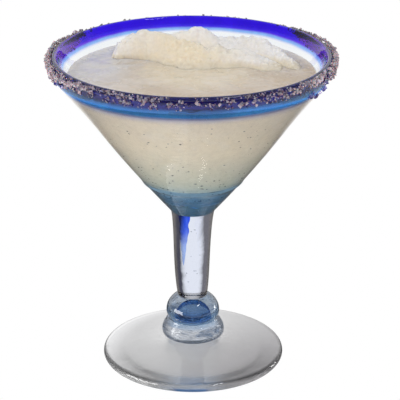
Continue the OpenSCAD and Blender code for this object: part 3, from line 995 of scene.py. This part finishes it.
class GLASS_OT_ice(bpy.types.Operator):
    """Heap of crushed ice on the drink"""
    bl_idname = "glass.ice"
    bl_label = "Ice heap"

    def execute(self, context):
        drink = context.scene.martini_drink
        cells = {}
        verts, faces = [], []
        reach = int(POOL_RADIUS / MM / GRID)
        heap_top = top_of("ice_heap")
        for i in range(-reach, reach + 1):
            for j in range(-reach, reach + 1):
                x, y = i * GRID, j * GRID
                if math.hypot(x, y) > POOL_RADIUS / MM - SUNK:
                    continue
                h = self.height(x, y)
                if h > 0:
                    cells[i, j] = len(verts)
                    verts.append(Vector((x * MM, y * MM, min(DRINK_Z + h * MM, heap_top))))
        count = len(verts)
        verts += [Vector((v.x, v.y, DRINK_Z - SUNK * MM)) for v in verts]
        edges = {}
        for (i, j), a in cells.items():
            corner = [cells.get(k) for k in ((i, j), (i + 1, j), (i + 1, j + 1), (i, j + 1))]
            if None in corner:
                continue
            faces.append(tuple(corner))
            faces.append(tuple(c + count for c in reversed(corner)))
            for a, b in zip(corner, corner[1:] + corner[:1]):
                edges[a, b] = True
        for a, b in edges:
            if (b, a) not in edges:
                faces.append((b, a, a + count, b + count))
        piece = new_piece("ice_mound", verts, faces, [self.snow(drink)], sharp=80)
        stands_for(piece, "crushed_ice", "ice_heap")
        return {"FINISHED"}

    def height(self, x, y):
        """Height of the heap over the drink at a place, in mm."""
        slow = Vector((x, y, 0)) / 7
        wx = x + 1.1 * noise.noise(slow)
        wy = y + 2.2 * noise.noise(slow + Vector((4, 8, 2)))
        tallest = 0.0
        for ridge in RIDGES:
            for low, high in zip(ridge, ridge[1:]):
                if low[0] <= wx < high[0]:
                    t = (wx - low[0]) / (high[0] - low[0])
                    _, crest, top, front = (a + (b - a) * t for a, b in zip(low, high))
                    behind = 5 + top / 2
                    away = (crest - wy) / front if wy < crest else (wy - crest) / behind
                    toe = 0.8 + 0.9 * soft_step(-31, -18, wx)
                    if away < 1:
                        tallest = max(tallest, top * (1 - away ** 1.9) ** toe)
        if tallest < 0.05:
            return 0.0
        crag = noise.ridged_multi_fractal(Vector((x, y, tallest)) / 5.0, 1.0, 2.1, 3, 1.0, 2.0) - 1.1
        chip = noise.noise(Vector((x, y, tallest * 2)) / 1.7)
        return max(tallest + min(tallest / 3, 1) * (0.95 * crag + 0.85 * chip), 0.05)

    def snow(self, drink):
        """Crushed ice, soaked in an oval in the middle of the heap and white round it."""
        material, web, shader = new_material("snow", Roughness=0.3, IOR=1.31)
        part = web.split(web.place())
        across = web.times(web.plus(part["X"], 10 * MM), 1 / (38 * MM))
        deep = web.times(web.minus(part["Y"], 12 * MM), 1 / (24 * MM))
        away = web.away({"X": across, "Y": deep})
        soak = web.ramp(away, 0.3, 1.25, 1.0, 0.05)
        ice = use_group(web, crushed_ice(), {"Snow": rgb(drink.snow), "Syrup": rgb(drink.syrup),
                                             "Soak": soak, "Grain": 700.0})
        toe = web.ramp(part["Z"], DRINK_Z + 0.2 * MM, DRINK_Z + 3.2 * MM, 1.0, 0.0)
        web.set(shader, "Base Color", web.mix(toe, ice["Colour"], rgb(drink.surface)))
        web.set(shader, "Roughness", ice["Wet"])
        web.set(shader, "Subsurface Weight", 0.8)
        web.set(shader, "Subsurface Radius", (1.0, 0.95, 0.85))
        web.set(shader, "Subsurface Scale", 3 * MM)
        bump(web, shader, ice["Height"], 0.35 * MM, 0.8)
        return material


LUMPS = [  # clumps of melted crystals: direction in degrees, mm below the lip, mm wide, mm tall
    (338, 8.0, 4.0, 5.5), (333, 11.0, 3.5, 3.0), (344, 5.0, 4.0, 3.0), (325, 9.0, 5.0, 2.5),
    (196, 8.0, 5.0, 3.0), (205, 6.0, 4.0, 2.5),
]
IN_A_LUMP = 9   # crystals of a clump


class GLASS_OT_salt(bpy.types.Operator):
    """Crust of salt crystals on the outside of the lip"""
    bl_idname = "glass.salt"
    bl_label = "Salt crust"

    def execute(self, context):
        salt = context.scene.martini_salt
        glass = context.scene.martini_glass
        draw = random.Random(41)
        half = glass.lip_bead / 2
        centre = (LIP_RADIUS - half, LIP_Z - half)
        wall = wall_outside(LIP_Z - 20 * MM, centre[1], 24)
        verts, faces = [], []
        made = 0
        while made < salt.grains:
            around = draw.uniform(0, 2 * math.pi)
            down = draw.random() ** 1.15
            size = salt.grain * draw.lognormvariate(0, 0.38)
            if draw.random() > self.cover(around, down):
                continue
            swell = math.sin(math.pi * min(0.22 + 0.78 * down, 1)) ** 0.6
            lift = draw.random() ** 0.7 * self.thickness(around) * swell * MM
            z = LIP_Z - 0.5 * MM - down * salt.reach * self.droop(around)
            r, tilt = self.under(z, centre, half, wall)
            r += (lift + size * 0.25) * math.cos(tilt)
            z += (lift + size * 0.25) * math.sin(tilt)
            where = hand_shaped(r * math.cos(around), r * math.sin(around), min(z, LIP_Z + 0.3 * MM))
            self.crystal(draw, verts, faces, where, size)
            made += 1
        grains = len(faces)
        for angle, below, wide, tall in LUMPS:
            for _ in range(IN_A_LUMP):
                around = math.radians(angle) + draw.uniform(-0.5, 0.5) * wide * MM / LIP_RADIUS
                z = LIP_Z - (below + draw.uniform(-0.5, 0.5) * tall) * MM
                r, tilt = self.under(z, centre, half, wall)
                where = hand_shaped((r + 0.5 * MM) * math.cos(around), (r + 0.5 * MM) * math.sin(around), z)
                self.crystal(draw, verts, faces, where, draw.uniform(1.0, 1.8) * MM)
        marks = [0] * grains + [1] * (len(faces) - grains)
        piece = new_piece("salt_crust", verts, faces, [self.salt_glass(salt), self.syrup_glass(salt)],
                          marks, smooth_faces=False)
        stands_for(piece, "salt", "salt_rim")
        return {"FINISHED"}

    def under(self, z, centre, half, wall):
        """Radius of the glass under the crust at a height, and its lean up or down."""
        if z > centre[1]:
            a = math.asin(min((z - centre[1]) / half, 1))
            return centre[0] + half * math.cos(a), a
        t = (z - wall[0][1]) / (wall[-1][1] - wall[0][1]) * (len(wall) - 1)
        k = min(max(int(t), 0), len(wall) - 2)
        run = wall[k + 1][0] - wall[k][0], wall[k + 1][1] - wall[k][1]
        return wall[k][0] + run[0] * (t - k), -math.atan2(run[0], run[1])

    def facing(self, around, angle, width):
        """1 in the direction of an angle in degrees, down to 0 at width degrees off it."""
        off = abs((math.degrees(around) - angle + 180) % 360 - 180)
        return 1 - soft_step(width * 0.55, width, off)

    def cover(self, around, down):
        """Chance that a crystal sticks: the sides are thickly salted, the front is patchy."""
        side = max(self.facing(around, 172, 32), self.facing(around, 16, 34))
        front = max(self.facing(around, 228, 42), self.facing(around, 316, 32))
        back = self.facing(around, 90, 62)
        clump = noise.noise(Vector((math.cos(around) * 15, math.sin(around) * 15, down * 2.2)))
        fine = noise.noise(Vector((math.cos(around) * 38, math.sin(around) * 38, down * 5)))
        base = (0.06 + 0.85 * clump + 0.75 * fine + 0.95 * side + 0.20 * front) * (1 - 0.93 * back)
        return base * (1 - 0.8 * soft_step(0.35 + 0.35 * side, 1.0, down))

    def droop(self, around):
        """How far down the crust reaches, as a share of its reach."""
        side = max(self.facing(around, 174, 34), self.facing(around, 10, 36))
        back = self.facing(around, 90, 70)
        return 0.60 + 0.25 * side - 0.5 * back

    def thickness(self, around):
        """Thickness of the crust in mm, by the direction round the lip."""
        side = max(self.facing(around, 176, 34), self.facing(around, 12, 38))
        lump = noise.noise(Vector((math.cos(around) * 5, math.sin(around) * 5, 3)))
        back = max(self.facing(around, 138, 26), self.facing(around, 45, 24))
        return (0.5 + 2.1 * side + 0.9 * max(lump, 0)) * (1 - 0.55 * back)

    def crystal(self, draw, verts, faces, where, size):
        """One chipped cube of salt, turned any way."""
        turn = Vector((draw.uniform(-1, 1), draw.uniform(-1, 1), draw.uniform(-1, 1)))
        spin = Matrix.Rotation(draw.uniform(0, 2 * math.pi), 3, turn.normalized())
        stretch = [size / 2 * draw.uniform(0.65, 1.2) for _ in range(3)]
        start = len(verts)
        for sx in (-1, 1):
            for sy in (-1, 1):
                for sz in (-1, 1):
                    chip = draw.uniform(0.55, 1.0)
                    corner = Vector((sx * stretch[0], sy * stretch[1], sz * stretch[2])) * chip
                    verts.append(where + spin @ corner)
        for quad in ((0, 1, 3, 2), (4, 6, 7, 5), (0, 4, 5, 1), (2, 3, 7, 6), (0, 2, 6, 4), (1, 5, 7, 3)):
            faces.append(tuple(start + i for i in quad))

    def salt_glass(self, salt):
        """Light crystals at the sides and darker ones over the cobalt in front, the darkening partly wet salt
        and partly painted shade.
        """
        material, web, shader = new_material("salt_crystal", Roughness=0.25, IOR=1.54)
        pick = web.add("ShaderNodeNewGeometry").outputs["Random Per Island"]
        # Partly painted shade: crystals away from the sides, mostly in front, darken towards the wet,
        # cobalt-backed colour.
        side = web.math("ABSOLUTE", web.split(web.place())["X"])
        dry_and_lit = web.ramp(side, LIP_RADIUS * 0.55, LIP_RADIUS * 0.95)
        own = web.times(web.math("POWER", pick, 1.3), 0.80)
        share = web.times_plus(dry_and_lit, 0.45, own, clamp=True)
        web.set(shader, "Base Color", web.mix(share, rgb(salt.damp_shade), rgb(salt.bright)))
        web.set(shader, "Roughness", web.times_plus(pick, 0.3, 0.15))
        web.set(shader, "Subsurface Weight", 0.4)
        web.set(shader, "Subsurface Scale", 0.6 * MM)
        return material

    def syrup_glass(self, salt):
        """Salt melted to a purple, half clear lump over the cobalt."""
        material, web, shader = new_glass("salt_syrup", roughness=0.12, ior=1.45)
        cloud = web.ramp(web.noise(420.0, 3.0, 0.6, web.place()), 0.35, 0.7)
        web.set(shader, "Base Color", web.mix(cloud, rgb(salt.syrup), rgb(salt.cloud)))
        return material


STEM_SEEDS = 20     # bubbles in the stem


class GLASS_OT_seeds(bpy.types.Operator):
    """Small bubbles shut in the glass"""
    bl_idname = "glass.seeds"
    bl_label = "Seeds"

    def execute(self, context):
        glass = context.scene.martini_glass
        tints = context.scene.martini_tints
        draw = random.Random(7)
        verts, faces = [], []
        outside = wall_outside(GATHER_OUT_Z - 6 * MM, BAND_OUT_Z, 30)
        for _ in range(glass.seeds):
            t = draw.random() ** 2.2
            r, z = outside[int(t * (len(outside) - 1))]
            z += draw.uniform(-0.6, 0.6) * MM
            around = draw.uniform(0, 2 * math.pi)
            inward = draw.uniform(1.2, 2.4) * MM
            size = (0.09 + 0.26 * draw.random() ** 2.5) * MM
            self.bubble(verts, faces, around, r - inward, z, size)
        for _ in range(STEM_SEEDS):
            around = draw.uniform(0, 2 * math.pi)
            r = draw.uniform(2, 7.5) * MM
            z = draw.uniform(STEM_Z + 3 * MM, BOWL_Z - 2 * MM)
            self.bubble(verts, faces, around, r, z, draw.uniform(0.08, 0.18) * MM)
        seed, web, shader = new_glass("seed_glass", roughness=0.05)
        pale = web.ramp(web.noise(300.0, 1.0, 0.5, web.place()), 0.3, 0.7)
        web.set(shader, "Base Color", web.mix(pale, rgb(tints.seed_dark), rgb(tints.seed_light)))
        piece = new_piece("glass_seeds", verts, faces, [seed])
        stands_for(piece, "clear_glass")
        return {"FINISHED"}

    def bubble(self, verts, faces, around, r, z, size):
        """One bubble, drawn out sideways by the turning of the glass."""
        rings, sides = 5, 8
        start = len(verts)
        verts.append(hand_shaped(r * math.cos(around), r * math.sin(around), z - size))
        for k in range(1, rings):
            high = math.pi * k / rings
            for i in range(sides):
                a = 2 * math.pi * i / sides
                out = size * math.sin(high)
                rr = r + out * math.sin(a) * 0.8
                turn = around + out * math.cos(a) * 1.9 / r
                verts.append(hand_shaped(rr * math.cos(turn), rr * math.sin(turn),
                                         z - size * math.cos(high)))
        verts.append(hand_shaped(r * math.cos(around), r * math.sin(around), z + size))
        last = len(verts) - 1
        for i in range(sides):
            j = (i + 1) % sides
            faces.append((start, start + 1 + i, start + 1 + j))
            for k in range(rings - 2):
                a, b = start + 1 + k * sides, start + 1 + (k + 1) * sides
                faces.append((a + i, b + i, b + j, a + j))
            top = start + 1 + (rings - 2) * sides
            faces.append((top + i, last, top + j))


MIDDLE = Vector((0, 0, 80 * MM))    # what the lamps aim at
LAMPS = [  # name, place and size in m, power in W, whether it lights things or is mirrored
    ("key", (-0.45, -0.70, 0.80), (0.35, 0.35), 4.5, "scattered"),
    ("window", (-0.91, -0.40, 0.20), (0.80, 0.34), 9.0, "mirrored"),
    ("side_window", (0.88, 0.40, 0.02), (0.22, 0.30), 2.0, "mirrored"),
    ("glint", (0.35, -0.30, 0.95), (0.20, 0.10), 1.0, "both"),
]


class GLASS_OT_stage(bpy.types.Operator):
    """Pale floor, soft light and the camera"""
    bl_idname = "glass.stage"
    bl_label = "Stage"

    def execute(self, context):
        stage = context.scene.martini_stage
        self.floor(stage)
        self.light(context.scene, stage)
        self.camera(context.scene, stage)
        return {"FINISHED"}

    def floor(self, stage):
        """Round floor just under the foot, white to the eye and shaded through the glass."""
        rings, sides = 12, 96
        verts, faces = [Vector((0, 0, 0))], []
        for k in range(1, rings + 1):
            r = stage.floor_radius * (k / rings) ** 2
            verts += [Vector((r * math.cos(2 * math.pi * i / sides),
                              r * math.sin(2 * math.pi * i / sides), 0)) for i in range(sides)]
        for i in range(sides):
            j = (i + 1) % sides
            faces.append((0, 1 + i, 1 + j))
            for k in range(rings - 1):
                a, b = 1 + k * sides, 1 + (k + 1) * sides
                faces.append((a + i, b + i, b + j, a + j))
        for v in verts:
            v.z = -0.05 * MM
        material, web, shader = new_material("pale_floor", Roughness=1.0)
        part = web.split(web.place())
        away = web.away(part)
        to_left = web.times_plus(part["X"], -0.25, away)
        seen_through = web.ramp(to_left, FOOT_RADIUS * 0.8, FOOT_RADIUS * 1.3, stage.under_foot,
                                stage.far_floor)
        not_zero = web.math("MAXIMUM", web.times(away, away), 1e-4)
        front = web.math("DIVIDE", web.times(part["Y"], part["Y"]), not_zero)
        lit = web.times(web.times_plus(front, 0.5, 1.0), stage.floor_light)
        mirrored = web.ramp(away, 0.18, 0.30, stage.mirrored, 1.0)
        glow = self.by_ray(web, 1.0, lit, seen_through, mirrored)
        web.set(shader, "Base Color", (0.0, 0.0, 0.0))
        web.set(shader, "Specular IOR Level", 0.0)
        web.set(shader, "Emission Color", (1.0, 1.0, 1.0))
        web.set(shader, "Emission Strength", glow)
        new_piece("floor", verts, faces, [material])

    def by_ray(self, web, seen, lit, through, mirrored):
        """Brightness for the eye, for lighting, for what glass shows and for what it mirrors."""
        path = web.add("ShaderNodeLightPath").outputs
        glassy = web.times_plus(web.minus(through, mirrored), path["Is Transmission Ray"], mirrored)
        scattered = web.math("GREATER_THAN", path["Diffuse Depth"], 0.5)
        other = web.times_plus(web.minus(lit, glassy), scattered, glassy)
        return web.times_plus(web.minus(seen, other), path["Is Camera Ray"], other)

    def light(self, scene, stage):
        """Soft light all round, brighter behind and overhead where glass mirrors it, and the lamps."""
        world = bpy.data.worlds.new("soft_sky")
        world.use_nodes = True
        web = Web(world.node_tree)
        sky = next(n for n in world.node_tree.nodes if n.type == "BACKGROUND")
        part = web.split(web.add("ShaderNodeTexCoord").outputs["Generated"])
        behind = web.ramp(part["Y"], 0.0, 0.9, 0.20, 1.0)
        overhead = web.ramp(part["Z"], 0.5, 0.95, 0.0, 0.10)
        mirrored = web.plus(behind, overhead)
        web.set(sky, "Color", (1.0, 1.0, 1.0))
        web.set(sky, "Strength", self.by_ray(web, 1.0, stage.sky_light, 0.95, mirrored))
        scene.world = world
        for name, where, size, power, role in LAMPS:
            data = bpy.data.lights.new(name, "AREA")
            data.shape = "RECTANGLE"
            data.size, data.size_y = size
            data.energy = power
            lamp = bpy.data.objects.new(name, data)
            lamp.location = where
            aim = MIDDLE - Vector(where)
            lamp.rotation_euler = aim.to_track_quat("-Z", "Y").to_euler()
            lamp.visible_glossy = role != "scattered"
            lamp.visible_diffuse = role != "mirrored"
            lamp.visible_transmission = False
            scene.collection.objects.link(lamp)
        scene.cycles.transparent_max_bounces = 48
        scene.cycles.max_bounces = 20
        scene.cycles.transmission_bounces = 20
        scene.view_settings.view_transform = "Standard"

    def camera(self, scene, stage):
        """Camera in front of the axis, looking down at the glass."""
        data = bpy.data.cameras.new("camera")
        data.sensor_width = 36
        data.lens = stage.camera_lens
        data.shift_x = stage.camera_shift
        data.clip_start, data.clip_end = 0.01, 50
        camera = bpy.data.objects.new("camera", data)
        camera.location = (0, -stage.camera_back, stage.camera_height)
        camera.rotation_euler = (math.pi / 2 - stage.camera_pitch, 0, 0)
        scene.collection.objects.link(camera)
        scene.camera = camera


class GLASS_PT_panel(bpy.types.Panel):
    """Sidebar list of the glass's settings and pieces"""
    bl_label = "Martini Glass"
    bl_idname = "GLASS_PT_panel"
    bl_space_type = "VIEW_3D"
    bl_region_type = "UI"
    bl_category = "Glass"

    def draw(self, context):
        for operator in OPERATORS:
            self.layout.operator(operator.bl_idname)
        for name in SETTINGS:
            box = self.layout.box()
            held = getattr(context.scene, name)
            for key in held.bl_rna.properties.keys():
                if key not in {"rna_type", "name"}:
                    box.prop(held, key)


SETTINGS = {"martini_glass": GlassSettings, "martini_tints": TintSettings,
            "martini_salt": SaltSettings, "martini_drink": DrinkSettings,
            "martini_stage": StageSettings}
OPERATORS = (GLASS_OT_stage, GLASS_OT_foot, GLASS_OT_collar, GLASS_OT_knop, GLASS_OT_stem,
             GLASS_OT_bowl, GLASS_OT_rim, GLASS_OT_drink, GLASS_OT_ice, GLASS_OT_salt,
             GLASS_OT_seeds)
CLASSES = (*SETTINGS.values(), *OPERATORS, GLASS_PT_panel)


def register():
    for item in CLASSES:
        bpy.utils.register_class(item)
    for name, kind in SETTINGS.items():
        setattr(bpy.types.Scene, name, PointerProperty(type=kind))


def unregister():
    for name in SETTINGS:
        delattr(bpy.types.Scene, name)
    for item in reversed(CLASSES):
        bpy.utils.unregister_class(item)


def main():
    """Makes the stage and every piece."""
    register()
    for operator in OPERATORS:
        family, name = operator.bl_idname.split(".")
        getattr(getattr(bpy.ops, family), name)()


if __name__ == "__main__":
    main()
